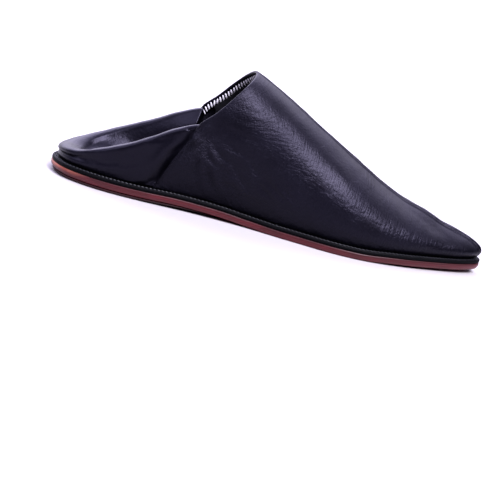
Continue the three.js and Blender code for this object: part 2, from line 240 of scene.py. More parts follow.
under = column(UNDERSIDE, "x", "outsole")
lift_under = column(UNDERSIDE, "x", "lift")
crown, swell, belly, roundness, crest = (
    column(LAST, "x", name) for name in ("crown", "swell", "belly", "roundness", "crest"))
vamp_edge = column(VAMP_EDGE, "z", "x")


def outsole_top(x):
    return under(x) + OUTSOLE_THICKNESS


def welt_top(x):
    return outsole_top(x) + GAP + WELT_THICKNESS


def foot_height(x):
    return welt_top(x) + GAP


def insole_top(x):
    return outsole_top(x) + GAP + INSOLE_THICKNESS


def from_side_seam(x, z):
    """How far ahead of the side seam a spot is. The seam leans, so this is less than the way along."""
    return (x - vamp_edge(z)) * SEAM_LEAN


print("collar", crown(COLLAR_TOP), "mm, toe tip rise", round(float(under(290.0)), 2), "mm")


# %% [markdown]
# ## The sole's outline
#
# Everything stands on one outline: the cutter draws it once and sets the welt, the insole and the
# upper's foot in from it. The same is done here. The outline is sampled evenly, each point knows its
# inward direction, and a ring at any distance inside is one line of code.

# %% Outline and rings
OUTLINE_POINTS = 720

near_side = np.stack([OUTLINE["along"] * LENGTH, -OUTLINE["half"] * BALL_WIDTH / 2,
                      np.zeros(len(OUTLINE["along"]))], axis=1)
far_side = near_side[-2:0:-1] * (1, -1, 1)
fine = through(np.vstack([near_side, far_side]), steps=200, closed=True)
fine = np.vstack([fine, fine[:1]])
run = np.concatenate([[0], np.cumsum(np.linalg.norm(np.diff(fine, axis=0), axis=1))])
even = np.arange(OUTLINE_POINTS) * run[-1] / OUTLINE_POINTS
outline = np.stack([np.interp(even, run, fine[:, i]) for i in range(3)], axis=1)
heading = unit(np.roll(outline, -1, axis=0) - np.roll(outline, 1, axis=0))
inward = np.stack([-heading[:, 1], heading[:, 0], np.zeros(OUTLINE_POINTS)], axis=1)


def ring(distance, height):
    points = outline + inward * distance
    points[:, 2] = height(points[:, 0])
    return points


foot_line = ring(LEDGE, foot_height)
print("outline", round(run[-1], 1), "mm round")


# %% [markdown]
# ## From grids to leather
#
# A hide is a sheet. Each piece of the upper is drawn as a grid of points on its grain side, rows
# that meet are merged, creases push it in and out along its own normals, and then the sheet gets a
# real thickness with all of its free edges closed.

# %% Sheet helpers
def tidy_faces(faces):
    """Four corners a face. A face with a doubled corner becomes a triangle that repeats its last."""
    kept = []
    for face in faces.tolist():
        corners = list(dict.fromkeys(face))
        if len(corners) >= 3:
            kept.append(corners + corners[-1:] * (4 - len(corners)))
    return np.array(kept)


def grid_faces(ids, wrap=False):
    here = ids if wrap else ids[:-1]
    after = np.roll(ids, -1, axis=0) if wrap else ids[1:]
    corners = (here[:, :-1], after[:, :-1], after[:, 1:], here[:, 1:])
    return np.stack(corners, axis=-1).reshape(-1, 4)


def weld(points, faces, *fields):
    keys = np.round(points * 1000).astype(np.int64)
    _, first, merged = np.unique(keys, axis=0, return_index=True, return_inverse=True)
    return (points[first], tidy_faces(merged.reshape(-1)[faces]), *(field[first] for field in fields))


def weld_grid(grid, *fields):
    """A grid of points as merged points and faces, and each field with one value for a kept point."""
    shape = grid.shape[:2]
    ids = np.arange(shape[0] * shape[1]).reshape(shape)
    return weld(grid.reshape(-1, 3), grid_faces(ids),
                *(np.broadcast_to(field, shape).ravel() for field in fields))


def normals_of(points, faces):
    a, b, c, d = (points[faces[:, i]] for i in range(4))
    facing = np.cross(c - a, d - b)
    total = np.zeros_like(points)
    for i in range(4):
        np.add.at(total, faces[:, i], facing)
    return total / np.maximum(np.linalg.norm(total, axis=1), 1e-9)[:, None]


def outward_faces(points, faces):
    a, b, c, d = (points[faces[:, i]] for i in range(4))
    volume = np.sum(a * (np.cross(b, c) + np.cross(c, d)))
    return faces if volume > 0 else faces[:, ::-1]


def shell(points, faces, outer, inner, feet):
    """Close a sheet: its grain side moved out, its flesh side moved in, and a strip on free edges.
    Its feet stay at their height, so that it stands flat."""
    normal = normals_of(points, faces)
    layers = [points + normal * np.reshape(outer, (-1, 1)),
              points - normal * np.reshape(inner, (-1, 1))]
    for layer in layers:
        layer[feet, 2] = points[feet, 2]
    count = len(points)
    edges = np.concatenate([faces[:, [i, (i + 1) % 4]] for i in range(4)])
    edges = edges[edges[:, 0] != edges[:, 1]]
    codes = edges[:, 0] * count + edges[:, 1]
    free = edges[~np.isin(codes, edges[:, 1] * count + edges[:, 0])]
    strip = np.stack([free[:, 1], free[:, 0], free[:, 0] + count, free[:, 1] + count], axis=1)
    return np.concatenate(layers), np.concatenate([faces, faces[:, ::-1] + count, strip])


def place(points):
    return (np.asarray(points) - (LENGTH / 2, 0, 0)) * MM


def add_piece(name, points, faces, finish, sharp=None):
    mesh = bpy.data.meshes.new(name)
    polygons = [list(dict.fromkeys(face)) for face in faces.tolist()]
    mesh.from_pydata(place(points).tolist(), [], polygons)
    mesh.polygons.foreach_set("use_smooth", np.ones(len(mesh.polygons), bool))
    if sharp is not None:
        mesh.set_sharp_from_angle(angle=math.radians(sharp))
    mesh.materials.append(finish)
    print(name, sum(len(polygon) - 2 for polygon in polygons), "triangles")
    return add_object(name, mesh)


def set_uv(made, coordinates):
    """Give each corner of a mesh its vertex's pair of lengths, in metres."""
    layer = made.data.uv_layers.new(name="grain")
    corners = np.empty(len(made.data.loops), np.int32)
    made.data.loops.foreach_get("vertex_index", corners)
    layer.data.foreach_set("uv", (coordinates[corners] * MM).astype(np.float32).ravel())


# %% [markdown]
# ## Finishes
#
# Each finish starts from the real material and how it was worked. Colours are written as the eye
# names them, in hexadecimal, and one function turns them into light. One small function adds a node
# with its settings and its links, so a finish reads like a recipe. A node that is handed to another
# one as an input stands for its first output.

# %% Node and colour helpers
def colour(code):
    parts = [int(code[i:i + 2], 16) / 255 for i in (1, 3, 5)]
    return [p / 12.92 if p <= 0.04045 else ((p + 0.055) / 1.055) ** 2.4 for p in parts] + [1.0]


def set_stops(elements, stops):
    while len(elements) < len(stops):
        elements.new(0.5)
    for element, (position, code) in zip(elements, stops):
        element.position = position
        element.color = colour(code)


def add_node(tree, kind, inputs=None, stops=(), **settings):
    """Add a node. Its inputs are nodes, sockets or plain values, and stops are a ramp's colours."""
    made = tree.nodes.new(kind)
    for name, value in settings.items():
        setattr(made, name, value)
    for socket, value in (inputs or {}).items():
        if isinstance(value, bpy.types.Node):
            value = value.outputs[0]
        if isinstance(value, bpy.types.NodeSocket):
            tree.links.new(value, made.inputs[socket])
        else:
            made.inputs[socket].default_value = value
    if stops:
        set_stops(made.color_ramp.elements, stops)
    return made


def new_finish(name):
    finish = bpy.data.materials.new(name)
    finish.use_nodes = True
    tree = finish.node_tree
    tree.nodes.clear()
    return finish, tree, add_node(tree, "ShaderNodeTexCoord").outputs["Object"]


def streaks(tree, lengths, along, over, detail, roughness, wander=0.0):
    """Noise drawn out along a map of lengths, in patches of along by over millimetres."""
    stretched = add_node(tree, "ShaderNodeMapping", {
        "Vector": lengths, "Scale": (1000 / along, 1000 / over, 1.0)})
    return add_node(tree, "ShaderNodeTexNoise", {
        "Vector": stretched, "Scale": 1.0, "Detail": detail,
        "Roughness": roughness, "Distortion": wander})


# %% [markdown]
# ### Black sheepskin
#
# The upper is drum-dyed sheepskin with a semi-gloss finish, black with a blue cast. Three things
# make it leather: a fine pebble grain, short crinkles that were pulled out of the throat when the
# skin was stretched over the last, and cracks across them. The crinkles follow a map of lengths
# that the mesh carries: how far a spot is from the throat, and how far round it. They are deepest
# low on the side, where the skin is slack, and faint on the crown, where it is stretched.
# Real grain is under half a millimetre and wouldn't show, so it is drawn coarser.

# %% Sheepskin
GRAIN_PITCH = 1.5
PATCH_PITCH = 30.0
CRINKLE_PITCH = 1.3
CRINKLE_LENGTH = 5.0
SLACK_DEPTH = 1.9
STRETCHED_DEPTH = 0.6
SLACK_SIDE = 45.0


def sheepskin(name, crinkle, roughness):
    finish, tree, spot = new_finish(name)
    lengths = add_node(tree, "ShaderNodeUVMap", uv_map="grain")
    round_way = add_node(tree, "ShaderNodeSeparateXYZ", {"Vector": lengths}).outputs["Y"]
    pebble = add_node(tree, "ShaderNodeTexVoronoi", {"Vector": spot, "Scale": 1000 / GRAIN_PITCH},
                      feature="SMOOTH_F1")
    patches = add_node(tree, "ShaderNodeTexNoise", {
        "Vector": spot, "Scale": 1000 / PATCH_PITCH, "Detail": 2.0})
    crinkles = streaks(tree, lengths, CRINKLE_LENGTH, CRINKLE_PITCH, 3.0, 0.55, 0.6)
    cracks = streaks(tree, lengths, CRINKLE_PITCH * 0.9, CRINKLE_LENGTH * 0.8, 3.0, 0.55, 0.4)
    slack = add_node(tree, "ShaderNodeMapRange", {
        "Value": round_way, "From Min": -SLACK_SIDE * MM, "From Max": 0.0,
        "To Min": SLACK_DEPTH, "To Max": STRETCHED_DEPTH})
    patchy = add_node(tree, "ShaderNodeMapRange", {
        "Value": patches, "From Min": 0.35, "From Max": 0.62, "To Min": 0.45, "To Max": 1.0})
    deep = add_node(tree, "ShaderNodeMath", {0: slack, 1: patchy}, operation="MULTIPLY")
    crossed = add_node(tree, "ShaderNodeMath", {0: crinkles, 1: cracks}, operation="ADD")
    wrinkles = add_node(tree, "ShaderNodeMath", {0: crossed, 1: deep}, operation="MULTIPLY")
    coarse = add_node(tree, "ShaderNodeBump", {
        "Height": wrinkles, "Strength": crinkle, "Distance": 0.9 * MM})
    grain = add_node(tree, "ShaderNodeBump", {
        "Height": pebble, "Strength": 0.22, "Distance": 0.35 * MM, "Normal": coarse})
    dye = add_node(tree, "ShaderNodeValToRGB", {"Fac": patches},
                   stops=[(0.3, "#07060c"), (0.7, "#0d0c15")])
    rough = add_node(tree, "ShaderNodeMapRange", {
        "Value": patches, "From Min": 0.3, "From Max": 0.7,
        "To Min": roughness - 0.04, "To Max": roughness + 0.05})
    skin = add_node(tree, "ShaderNodeBsdfPrincipled", {
        "Base Color": dye, "Roughness": rough, "IOR": 1.5, "Normal": grain,
        "Specular IOR Level": 0.27, "Specular Tint": colour("#e2ddfa")})
    add_node(tree, "ShaderNodeOutputMaterial", {"Surface": skin})
    return finish


vamp_skin = sheepskin("black_sheepskin_stretched", 0.55, 0.4)
quarter_skin = sheepskin("black_sheepskin_folded", 0.12, 0.33)
print("finishes", vamp_skin.name, quarter_skin.name)


# %% [markdown]
# ### Lining, insole and welt
#
# Lining leather is split skin with no gloss, and its nap scatters light. The welt is a strip of
# hard black leather, cut with a knife, so its edge is rough and catches small grey glints. Its black
# is set darker still, as painted shade under the overhanging upper.

# %% Matt leathers
def matt_leather(name, dark, light, pitch, roughness, depth, gloss=0.5):
    finish, tree, spot = new_finish(name)
    fibre = add_node(tree, "ShaderNodeTexNoise", {
        "Vector": spot, "Scale": 1000 / pitch, "Detail": 4.0, "Roughness": 0.65})
    nap = add_node(tree, "ShaderNodeBump", {
        "Height": fibre, "Strength": 0.6, "Distance": depth * MM})
    dye = add_node(tree, "ShaderNodeValToRGB", {"Fac": fibre}, stops=[(0.35, dark), (0.72, light)])
    skin = add_node(tree, "ShaderNodeBsdfPrincipled", {
        "Base Color": dye, "Roughness": roughness, "IOR": 1.5, "Normal": nap,
        "Specular IOR Level": gloss})
    add_node(tree, "ShaderNodeOutputMaterial", {"Surface": skin})
    return finish


lining_skin = matt_leather("split_lining_matt", "#0e0d13", "#191820", 1.6, 0.75, 0.15)
insole_skin = matt_leather("insole_leather_matt", "#121117", "#1f1d25", 1.8, 0.7, 0.15)
# The welt's black is set darker still, as painted shade under the overhanging upper.
welt_strip = matt_leather("welt_leather_cut_painted_shade", "#030305", "#0c0c10", 1.2, 0.55, 0.3, gloss=0.1)
print("matt leathers", lining_skin.name, insole_skin.name, welt_strip.name)


# %% [markdown]
# ### Red sole leather
#
# The outsole is vegetable-tanned leather. Its edge is dyed wine red and waxed. Its foot is painted
# lighter and pinker, as a painted reflection of the floor, and its top darker, as painted shade under
# the welt. Round the heel the top corner has worn lighter, towards orange, and the bevelled foot of
# the edge is painted darker, as painted shade. The colour follows the edge's height, which the mesh
# carries as a map, with streaks along the cut.

# %% Sole leathers
STREAK_LENGTH = 14.0
STREAK_PITCH = 1.1
BLOTCH_PITCH = 22.0
WORN_BACK = 25.0
WORN_FRONT = 60.0


def sole_leather(name, stops, heel_stops, roughness):
    finish, tree, spot = new_finish(name)
    lengths = add_node(tree, "ShaderNodeUVMap", uv_map="grain")
    split = add_node(tree, "ShaderNodeSeparateXYZ", {"Vector": lengths}).outputs
    streak = streaks(tree, lengths, STREAK_LENGTH, STREAK_PITCH, 4.0, 0.6)
    blotch = add_node(tree, "ShaderNodeTexNoise", {
        "Vector": spot, "Scale": 1000 / BLOTCH_PITCH, "Detail": 2.0})
    uneven = add_node(tree, "ShaderNodeMath", {0: streak, 1: blotch}, operation="ADD")
    shift = add_node(tree, "ShaderNodeMapRange", {
        "Value": uneven, "From Min": 0.7, "From Max": 1.3, "To Min": -0.28, "To Max": 0.28})
    height = add_node(tree, "ShaderNodeMath", {0: split["Y"], 1: 1000 / OUTSOLE_THICKNESS},
                      operation="MULTIPLY")
    mixed = add_node(tree, "ShaderNodeMath", {0: height, 1: shift}, operation="ADD")
    near_heel = add_node(tree, "ShaderNodeMapRange", {
        "Value": split["X"], "From Min": WORN_BACK * MM, "From Max": WORN_FRONT * MM,
        "To Min": 1.0, "To Max": 0.0})
    # The ramps paint light by the edge's height: a painted reflection of the floor low down, painted
    # shade under the welt at the top, and painted shade on the heel's bevel.
    reflection_and_shade = add_node(tree, "ShaderNodeValToRGB", {"Fac": mixed}, stops=stops)
    worn_and_shaded = add_node(tree, "ShaderNodeValToRGB", {"Fac": mixed}, stops=heel_stops)
    dye = add_node(tree, "ShaderNodeMix", {0: near_heel, 6: reflection_and_shade, 7: worn_and_shaded}, data_type="RGBA")
    cut_marks = add_node(tree, "ShaderNodeBump", {
        "Height": streak, "Strength": 0.5, "Distance": 0.25 * MM})
    skin = add_node(tree, "ShaderNodeBsdfPrincipled", {
        "Base Color": dye.outputs[2], "Roughness": roughness, "IOR": 1.5, "Normal": cut_marks,
        "Coat Weight": 0.15, "Coat Roughness": 0.35})
    add_node(tree, "ShaderNodeOutputMaterial", {"Surface": skin})
    return finish


# Painted light on the outsole edge: lighter and pinker at the foot as a painted reflection of the floor,
# darker at the top as painted shade under the welt.
WINE_REFLECTION_AND_SHADE = [(0.0, "#681a28"), (0.35, "#5e121e"), (0.7, "#480912"), (1.0, "#38060c")]
# Round the heel: worn lighter towards orange at the top, and darker at the bevelled foot as painted
# shade.
WORN_AND_SHADED = [(0.0, "#3a0c14"), (0.5, "#561416"), (0.75, "#8c4636"), (0.95, "#a2604c")]
CUT = [(0.0, "#2c0a10"), (1.0, "#48141a")]
sole_skin = sole_leather("sole_leather_dyed_edge_painted_light", WINE_REFLECTION_AND_SHADE, WORN_AND_SHADED, 0.45)
lift_skin = sole_leather("lift_leather_dyed_edge", CUT, CUT, 0.48)
print("sole leathers", sole_skin.name, lift_skin.name)


# %% [markdown]
# ### Threads
#
# The lining is whipped to the collar with white linen thread. The welt is sewn with black thread,
# drawn through wax, which gives it a slight shine.

# %% Threads
TWIST_PITCH = 0.5


def thread(name, dark, light, roughness):
    finish, tree, spot = new_finish(name)
    strand = add_node(tree, "ShaderNodeTexNoise", {
        "Vector": spot, "Scale": 1000 / TWIST_PITCH, "Detail": 2.0})
    twist = add_node(tree, "ShaderNodeBump", {
        "Height": strand, "Strength": 0.5, "Distance": 0.2 * MM})
    dye = add_node(tree, "ShaderNodeValToRGB", {"Fac": strand}, stops=[(0.25, dark), (0.7, light)])
    cord = add_node(tree, "ShaderNodeBsdfPrincipled", {
        "Base Color": dye, "Roughness": roughness, "IOR": 1.5, "Normal": twist})
    add_node(tree, "ShaderNodeOutputMaterial", {"Surface": cord})
    return finish


white_linen = thread("white_linen_thread", "#dcd8e0", "#fdfbff", 0.8)
black_waxed = thread("black_waxed_thread", "#0c0c10", "#24252b", 0.42)
print("threads", white_linen.name, black_waxed.name)


# %% [markdown]
# ## The vamp
#
# The vamp is drawn on the last: from its foot on the welt, out over the belly of the wall, and up to
# a crown with a slight crease. Behind the toe hub its lines stand across the foot, and in front
# they fan out round the toe. Rows crowd together beside the middle, where the seam needs them.

# %% Wall lines of the last
SEAM_REACHES = np.array([6.5, 5.4, 4.5, 3.8, 3.2, 2.75, 2.35, 2.0, 1.65, 1.3, 0.9, 0.45, 0.0])


def foot_half_width(x):
    half = foot_line[:OUTLINE_POINTS // 2 + 1]
    return np.interp(x, half[:, 0], -half[:, 1])


def wall_line(x, foot_reach, share):
    foot, bulge, widest = foot_height(x), belly(x), foot_reach + swell(x)
    low = np.minimum(share * 2, 1)
    angle = np.clip(share - 0.5, 0, 0.5) * math.pi
    power = 2 / roundness(x)
    arch_reach = widest * np.maximum(np.cos(angle), 0) ** power
    arch_rise = np.sin(angle) ** power * (crown(x) - foot - bulge - crest(x))
    peak = crest(x) * (1 - arch_reach / widest) ** 2
    lower = share <= 0.5
    reach = np.where(lower, foot_reach + swell(x) * (1 - (1 - low) ** 2), arch_reach)
    return reach, np.where(lower, foot + bulge * low, foot + bulge + arch_rise + peak)


def throat_share():
    low, high = 0.0, 1.0
    x = float(vamp_edge(THROAT_HEIGHT))
    for _ in range(40):
        middle = (low + high) / 2
        _, z = wall_line(x, foot_half_width(x), np.array(middle))
        low, high = (middle, high) if z < THROAT_HEIGHT else (low, middle)
    return low


THROAT_SHARE = throat_share()
print("throat at", round(THROAT_SHARE, 3), "of the wall line")


# %% The vamp's rows and its edge
SIDE_ROWS = 46
OVER_ROWS = 42
START_ROUNDS = 80


class Rows:
    """Rows of the vamp from foot to crown: up the side to the throat, over to the crown, and the seam."""

    def __init__(self, side, over, seam):
        self.kind = np.concatenate([np.zeros(side + 1), np.ones(over), np.full(len(seam) - 1, 2)])
        self.part = np.concatenate([np.arange(side + 1) / side, np.arange(1, over + 1) / over,
                                    np.zeros(len(seam) - 1)])
        self.reach = np.concatenate([np.zeros(side + over + 1), seam[1:]])
        self.top = seam[0]
        self.side = side

    def share(self, x, foot_reach):
        widest, power = foot_reach + swell(x), 2 / roundness(x)

        def share_of(reach):
            return 0.5 + np.arccos(np.clip(reach / widest, 0, 1) ** (1 / power)) / math.pi
        over = THROAT_SHARE + (share_of(self.top) - THROAT_SHARE) * self.part
        return np.select([self.kind == 0, self.kind == 1], [THROAT_SHARE * self.part, over],
                         share_of(self.reach))

    def at(self, x):
        """Points of the near side at stations x, one for each row."""
        reach_foot = foot_half_width(x)
        reach, z = wall_line(x, reach_foot, self.share(x, reach_foot))
        return np.stack([x, -reach, z], axis=-1)

    def starts(self):
        x = np.full(len(self.kind), COLLAR_TOP)
        for _ in range(START_ROUNDS):
            x = 0.5 * (x + vamp_edge(self.at(x)[:, 2]))
        return x


def toe_lines(rows, angles):
    """Lines that fan out round the toe hub, from the near side at -90 degrees past the toe at 0."""
    around = np.arctan2(foot_line[:, 1], foot_line[:, 0] - TOE_HUB)
    distance = np.hypot(foot_line[:, 1], foot_line[:, 0] - TOE_HUB)
    order = np.argsort(around)
    reach_foot = np.interp(angles, around[order], distance[order])[:, None]
    forward = np.cos(angles)[:, None] ** 2
    x = TOE_HUB + (LENGTH - TOE_HUB) * forward + np.zeros(len(rows.kind))
    share = rows.share(x, reach_foot)
    reach, z = wall_line(x, reach_foot, share)
    z = z + (crown(TOE_HUB) - crown(x)) * share ** 4
    z[:, -1] = crown(TOE_HUB)
    ahead_of_hub, aside = np.cos(angles)[:, None] * reach, np.sin(angles)[:, None] * reach
    return np.stack([TOE_HUB + ahead_of_hub, aside, z], axis=-1)


vamp_rows = Rows(SIDE_ROWS, OVER_ROWS, SEAM_REACHES)
vamp_starts = vamp_rows.starts()
print("vamp rows", len(vamp_starts), "collar top at", round(float(vamp_starts[-1]), 1), "mm")


# %% [markdown]
# The edge of the vamp is turned: the leather rolls over and lies back on itself inside, about five
# millimetres deep round the collar. A half circle joins the two faces, so the rim is round and
# catches a thin line of light. Down the side seam the turning is thinner.

# %% The vamp's grid, with its turned edge
FIRST_STEPS = np.array([0.0, 1.8, 2.5, 3.2, 4.0, 5.4, 7.0])
HEM_LINES = 4
BODY_LINES = 126
RIM_LINES = 9
SIDE_ROLL = 0.62
FAN_ANGLES = np.radians(np.concatenate([np.arange(0, 7.3, 0.8), np.arange(9, 90, 2.7), [90]]))


def body_grid(rows, starts, steps, lines):
    spread = np.linspace(0, 1, lines + 1)[1:, None]
    x = np.concatenate([starts + steps[:, None],
                        (starts + steps[-1]) + (TOE_HUB - starts - steps[-1]) * spread])
    return rows.at(x)


def grid_normals(grid):
    along, over = np.gradient(grid, axis=0), np.gradient(grid, axis=1)
    normal = np.cross(over, along)
    normal[:, -1, 1] = 0
    normal = unit(normal)
    return normal if normal[1, 10, 1] < 0 else -normal


near_grid = body_grid(vamp_rows, vamp_starts, FIRST_STEPS, BODY_LINES)
near_normals = grid_normals(near_grid[:len(FIRST_STEPS)])
row_number = np.arange(len(vamp_starts))
up_collar = blend(row_number, vamp_rows.side - 2, vamp_rows.side + 5)
roll = SIDE_ROLL + (WALL / 2 - SIDE_ROLL) * up_collar

edge, edge_normal = near_grid[0], near_normals[0]
along_edge = np.gradient(edge, axis=0)
along_edge[-1] = (0, 1, 0)
backward = unit(np.cross(edge_normal, along_edge))
backward *= np.where(np.sum(backward * (edge - near_grid[1]), axis=1) < 0, -1, 1)[:, None]
backward[-1, 1] = 0
turns = np.linspace(math.pi, 0, RIM_LINES)[:, None, None]
rim = (edge - backward * roll[:, None] - edge_normal * roll[:, None]
       + roll[:, None] * (np.cos(turns) * edge_normal + np.sin(turns) * backward))
hem = near_grid[1:HEM_LINES + 1] - 2 * roll[:, None] * near_normals[1:HEM_LINES + 1]
body = near_grid[1:-1]
fan = toe_lines(vamp_rows, np.concatenate([-FAN_ANGLES[:0:-1], FAN_ANGLES]))
near_lines = np.concatenate([hem[::-1], rim, body])
vamp_grid = np.concatenate([near_lines, fan, near_lines[::-1] * (1, -1, 1)])
print("vamp grid", vamp_grid.shape[:2])


# %% [markdown]
# ### Creases
#
# Soft leather pulled round a corner gathers into ridges and troughs. The main ones are listed one
# by one, in the slipper's own sizes: where a crease starts and ends on the side, how far it bows,
# how wide it is and how deep. Each is a soft trough with a low ridge beside it, fading at
# both ends. Between the creases the leather bulges, most of all at the throat's corner, where a
# small leaf of it stands up over a dimple. A little seeded unevenness keeps the rest from looking
# moulded.

# %% Creases, bulges and unevenness
CREASES = table("x0 z0 x1 z1 bow width depth", """
87   53  94  46   0.6 0.9 0.55
88   55  97  51   0.4 0.8 0.45
88   50  91  36   1.2 1.1 0.60
90   50  97  33   2.0 1.3 0.55
92   51  104 32   3.0 1.5 0.50
94   53  113 36   3.2 1.5 0.42
97   55  121 44   2.4 1.5 0.36
98   59  126 55   1.5 1.4 0.30
86   44  84  28   1.4 1.2 0.55
92   40  94  18   2.2 1.5 0.50
98   40  104 17   2.6 1.7 0.46
105  40  115 18   2.8 1.7 0.40
112  42  128 22   2.6 1.7 0.36
120  45  140 29   2.0 1.6 0.30
126  36  142 22   1.4 1.5 0.28
134  36  152 22   1.6 1.5 0.26
144  34  160 22   1.4 1.4 0.22
103  66  124 66   1.6 1.4 0.09
108  73  128 72   1.4 1.3 0.07""")


def crease_depth(x, z, rows):
    total = np.zeros_like(x)
    for x0, z0, x1, z1, bow, width, depth in zip(*rows.values()):
        run_x, run_z = x1 - x0, z1 - z0
        span = math.hypot(run_x, run_z)
        t = ((x - x0) * run_x + (z - z0) * run_z) / span ** 2
        off = ((x - x0) * run_z - (z - z0) * run_x) / span - bow * 4 * t * (1 - t)
        fade = blend(t, -0.15, 0.2) * (1 - blend(t, 0.6, 1.15))
        total += depth * fade * (0.55 * bell(off - 1.7 * width, width) - bell(off, width))
    return total


BULGES = table("x z along up height", """
87.0 46.5 3.6 4.6  1.3
91.5 54.0 2.8 2.2  0.9
87.2 52.0 1.5 1.5 -1.3
93.0 38.0 2.2 7.0  0.7
98.5 34.0 2.4 7.0  0.7
104  30.0 2.6 7.0  0.6
115  26.0 7.0 3.0  0.5
131  21.0 8.0 3.0  0.4""")


def bulge_height(x, z, rows):
    return sum(height * np.exp(-((x - x0) / along) ** 2 - ((z - z0) / up) ** 2)
               for x0, z0, along, up, height in zip(*rows.values()))


def unevenness(points, pitch, seed, waves=11):
    order = np.random.default_rng(seed)
    total = np.zeros(len(points))
    for _ in range(waves):
        direction = order.normal(size=3)
        direction *= 2 * math.pi / (np.linalg.norm(direction) * pitch * order.uniform(0.7, 1.5))
        total += np.sin(points @ direction + order.uniform(0, 2 * math.pi))
    return total / math.sqrt(waves)


# %% [markdown]
# ### The middle seam
#
# Down the middle of the vamp runs a narrow raised band between two fine grooves, where the
# leather was pinched and stitched from inside. It is slightly crooked, as hand work is, and a little
# wider at the toe. Here the creases, the bulges and the rolled edge are pressed into the sheet too.
# The far side's creases sit a little lower than the near side's, so the two aren't twins.

# %% Vamp mesh
SEAM_HEIGHT = 0.7
SEAM_GROOVE = 1.7
SEAM_SHOULDER = 0.8
CREASE_DEPTH = 1.7
BULGE_HEIGHT = 1.5
ROLL_DEPTH = 1.5
ROLL_WIDTH = 6.5
TOE_FILL = 1.5
TOE_FILL_AT = 247.0
FAR_SIDE_SHIFT = 1.5
TURNED_THICKNESS = 0.93
SKIN_THICKNESS = 1.05
seam_half = column(table("x half", """
115 1.2
160 1.5
200 2.2
240 2.7
290 2.8"""), "x", "half")

line_count, row_count = vamp_grid.shape[:2]
line_number = np.arange(line_count)
from_edge = np.minimum(line_number, line_count - 1 - line_number)[:, None]
is_grain = blend(from_edge, HEM_LINES + 2, HEM_LINES + 10)
thickness = np.where(from_edge < HEM_LINES + 9, TURNED_THICKNESS * roll, SKIN_THICKNESS)
points, faces, grain_side, thick, on_outside, feet = weld_grid(
    vamp_grid, is_grain, thickness, from_edge >= HEM_LINES + 3, np.arange(row_count) == 0)
faces = outward_faces(points, faces)
x, y, z = points.T
aside = np.abs(y)
away = blend(z - foot_height(x), 0.5, 5)

off_seam = np.abs(y - 0.22 * np.sin(x / 6.1) - 0.14 * np.sin(x / 2.9 + 1))
half_band = seam_half(x)
band = SEAM_HEIGHT * (1 - blend(off_seam, half_band - 0.5, half_band))
groove = SEAM_GROOVE * bell(off_seam - half_band - 0.3, 0.55)
shoulder = SEAM_SHOULDER * bell(off_seam - half_band - 1.8, 0.9)
top_only = blend(z - foot_height(x), 3, 8)
seam = (band - groove + shoulder) * top_only * (0.4 + 0.6 * blend(x, 125, 200))

side_z = z + FAR_SIDE_SHIFT * np.sign(y)
crease_pull = CREASE_DEPTH * crease_depth(x, side_z, CREASES)
bulge_push = BULGE_HEIGHT * bulge_height(x, side_z, BULGES)
pull = (crease_pull + bulge_push) * blend(aside, 12, 22)
drape = 0.12 * unevenness(points, 26, 3) + 0.07 * unevenness(points, 11, 4)
toe_fill = TOE_FILL * bell(x - TOE_FILL_AT, 13) * (1 - blend(aside, 3, 16))

from_seam = from_side_seam(x, np.minimum(z, THROAT_HEIGHT))
below_throat = 1 - blend(z, THROAT_HEIGHT - 3, THROAT_HEIGHT + 3)
roll_in = -ROLL_DEPTH * np.clip(1 - from_seam / ROLL_WIDTH, 0, 1) ** 2 * below_throat

move = (seam + toe_fill + (pull + drape) * away) * grain_side + roll_in * away * on_outside
points = points + normals_of(points, faces) * move[:, None]
vamp_points, vamp_faces = shell(points, faces, 0.0, thick, feet)
vamp = add_piece("vamp", vamp_points, vamp_faces, vamp_skin)


MAP_CENTRE = 12.0
MAP_REACH = 60.0


def throat_map(at):
    """Lengths for the crinkles: the distance from the throat's corner, and the way round it,
    which is measured at one reach and is below zero on the side."""
    dx, dz = at[:, 0] - float(vamp_edge(THROAT_HEIGHT)), at[:, 2] - THROAT_HEIGHT
    return np.stack([np.hypot(dx, dz), np.arctan2(dz, dx + MAP_CENTRE) * MAP_REACH], axis=1)


set_uv(vamp, throat_map(vamp_points))


# %% [markdown]
# ## The lining of the vamp
#
# Inside the vamp lies a thin skin of split leather. It starts where the turned hem ends and goes
# forward to the toe. It only shows through the opening, so its grid is coarser.

# %% Vamp lining
HEM_DEPTH = 4.6
QUARTER_FRONT = 89.0
LINING_UNDER = 1.15
LINING_DEEP = 1.95
lining_rows = Rows(22, 26, np.array([6.5, 3.0, 0.0]))
lining_starts = lining_rows.starts()
behind_throat = np.arange(len(lining_starts)) <= lining_rows.side
lining_starts = np.where(behind_throat, np.maximum(lining_starts, QUARTER_FRONT + 2.5), lining_starts)
lining_body = body_grid(lining_rows, lining_starts, np.array([HEM_DEPTH]), 60)[:-1]
fan = toe_lines(lining_rows, np.radians(np.linspace(-90, 90, 31)))
lining_grid = np.concatenate([lining_body, fan, lining_body[::-1] * (1, -1, 1)])
points, faces, feet = weld_grid(lining_grid, np.arange(lining_grid.shape[1]) == 0)
faces = outward_faces(points, faces)
lining_points, lining_faces = shell(points, faces, -LINING_UNDER, LINING_DEEP, feet)
lining = add_piece("vamp_lining", lining_points, lining_faces, lining_skin)


# %% [markdown]
# ## The folded quarter
#
# The quarter stands up from the welt, rolls over a soft ridge and lies down again inside. At the
# heel it is pressed nearly flat into a wide lip. Each line across it is a path through ten stops:
# foot, wall, dent, shoulder, ridge, flap and free edge.

